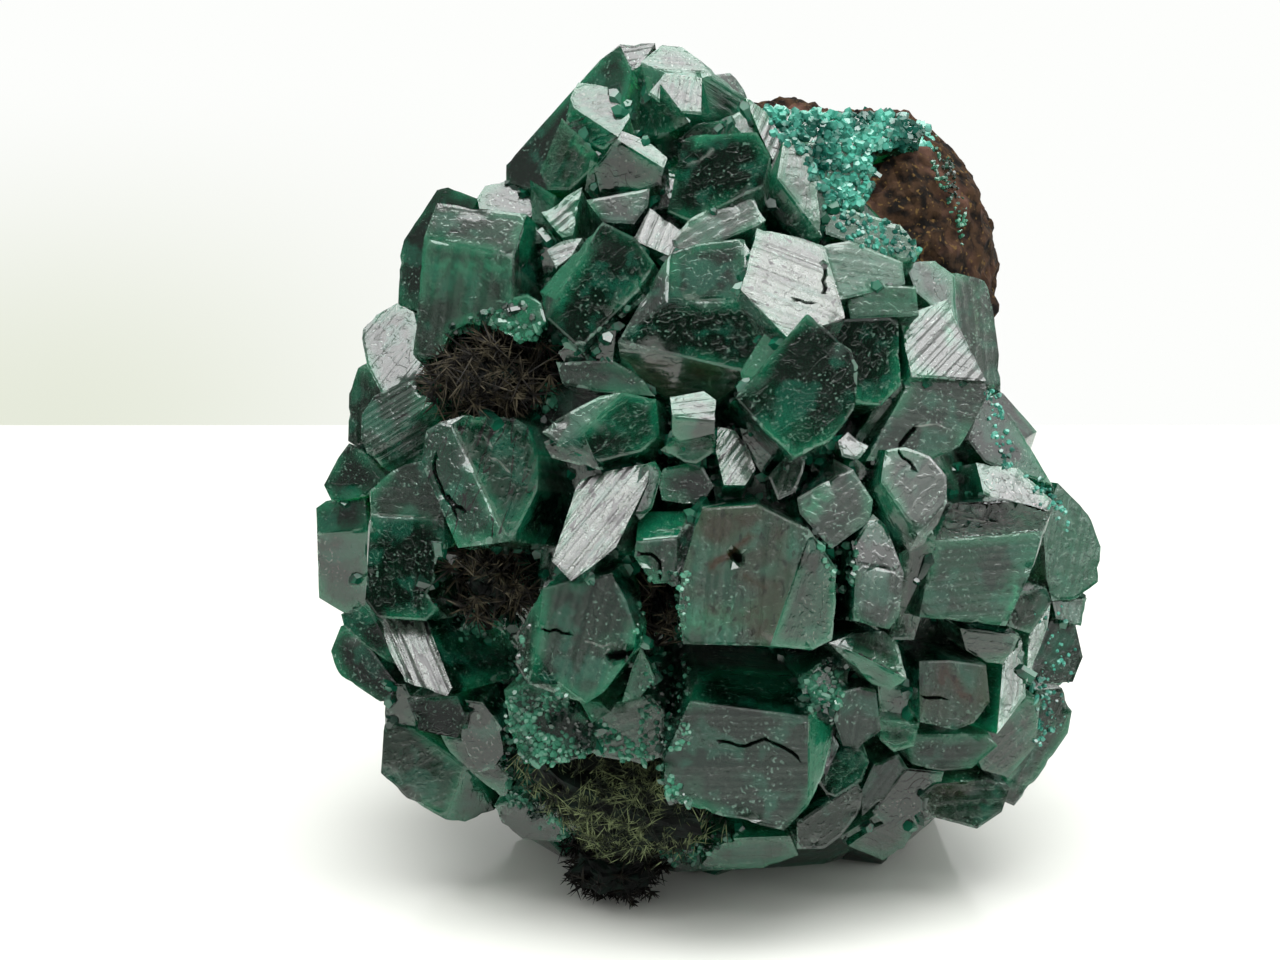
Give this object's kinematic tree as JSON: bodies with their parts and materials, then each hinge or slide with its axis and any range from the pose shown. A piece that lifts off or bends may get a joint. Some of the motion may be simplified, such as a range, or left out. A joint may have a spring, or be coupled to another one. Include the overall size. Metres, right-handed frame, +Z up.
{
  "type": "dioptase crystal specimen",
  "caption": "Hand specimen of deep green blocky dioptase crystals grown over brown rock, with tufts of dark olive fornacite needles in the gaps; rests on its flattened underside.",
  "frame": {"origin": "middle of the underside, on the surface that the specimen rests on", "axes": "+Z up, -Y towards the side that the picture shows, +X to the picture's right"},
  "size_m": [0.0634, 0.0638, 0.0681],
  "materials": {
    "dioptase": "vitreous, deep green, nearly opaque",
    "matrix rock": "rough, earthy",
    "fornacite needles": "dull, matted"
  },
  "bodies": {
    "root": {"dioptase_crystals": "dioptase", "matrix_rock": "matrix rock", "fornacite_upper_left": "fornacite needles", "fornacite_left": "fornacite needles", "fornacite_centre": "fornacite needles", "fornacite_lower": "fornacite needles", "fornacite_foot": "fornacite needles"}
  },
  "joints": []
}
